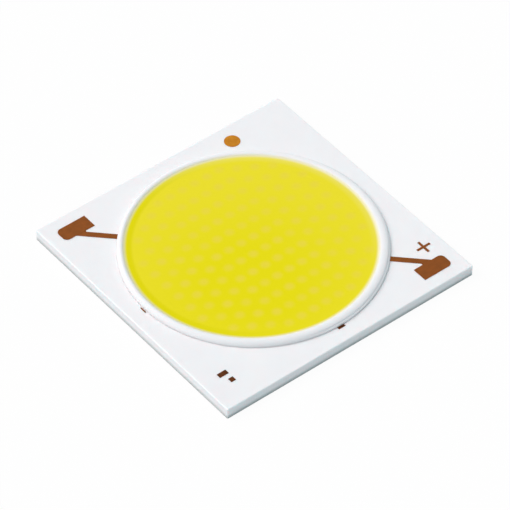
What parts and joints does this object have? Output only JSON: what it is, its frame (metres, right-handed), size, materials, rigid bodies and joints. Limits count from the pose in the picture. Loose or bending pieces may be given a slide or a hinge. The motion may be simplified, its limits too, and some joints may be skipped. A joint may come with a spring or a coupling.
{
  "type": "cob led",
  "caption": "Square white ceramic plate with a dammed round yellow phosphor field over wire-bonded chips, and corner solder pads.",
  "frame": {"origin": "centre of the plate's underside", "axes": "+Z out of the light-emitting face; +X and +Y along the plate's sides, with the anode pad at +X -Y and the cathode pad at -X +Y"},
  "size_m": [0.0238, 0.0238, 0.0014],
  "materials": {
    "alumina": "satin",
    "copper_film": "satin",
    "gold_film": "satin",
    "dark_film": "satin",
    "chip_sapphire": "polished",
    "die_adhesive": "matte",
    "gold_wire": "polished",
    "white_silicone": "satin",
    "phosphor_silicone": "satin"
  },
  "bodies": {
    "root": {"ceramic_plate": "alumina", "cathode_conductor": "copper_film", "anode_conductor": "copper_film", "temperature_point": "gold_film", "polarity_plus": "copper_film", "corner_bar_mark": "dark_film", "corner_square_mark": "dark_film", "left_centre_mark": "copper_film", "near_centre_mark": "dark_film", "chip_adhesive": "die_adhesive", "silicone_dam": "white_silicone", "phosphor_fill": "phosphor_silicone", "chip_string_01": "chip_sapphire", "chip_string_02": "chip_sapphire", "chip_string_03": "chip_sapphire", "chip_string_04": "chip_sapphire", "chip_string_05": "chip_sapphire", "chip_string_06": "chip_sapphire", "chip_string_07": "chip_sapphire", "chip_string_08": "chip_sapphire", "chip_string_09": "chip_sapphire", "chip_string_10": "chip_sapphire", "chip_string_11": "chip_sapphire", "chip_string_12": "chip_sapphire", "bond_wires_01": "gold_wire", "bond_wires_02": "gold_wire", "bond_wires_03": "gold_wire", "bond_wires_04": "gold_wire", "bond_wires_05": "gold_wire", "bond_wires_06": "gold_wire", "bond_wires_07": "gold_wire", "bond_wires_08": "gold_wire", "bond_wires_09": "gold_wire", "bond_wires_10": "gold_wire", "bond_wires_11": "gold_wire", "bond_wires_12": "gold_wire"}
  },
  "joints": []
}
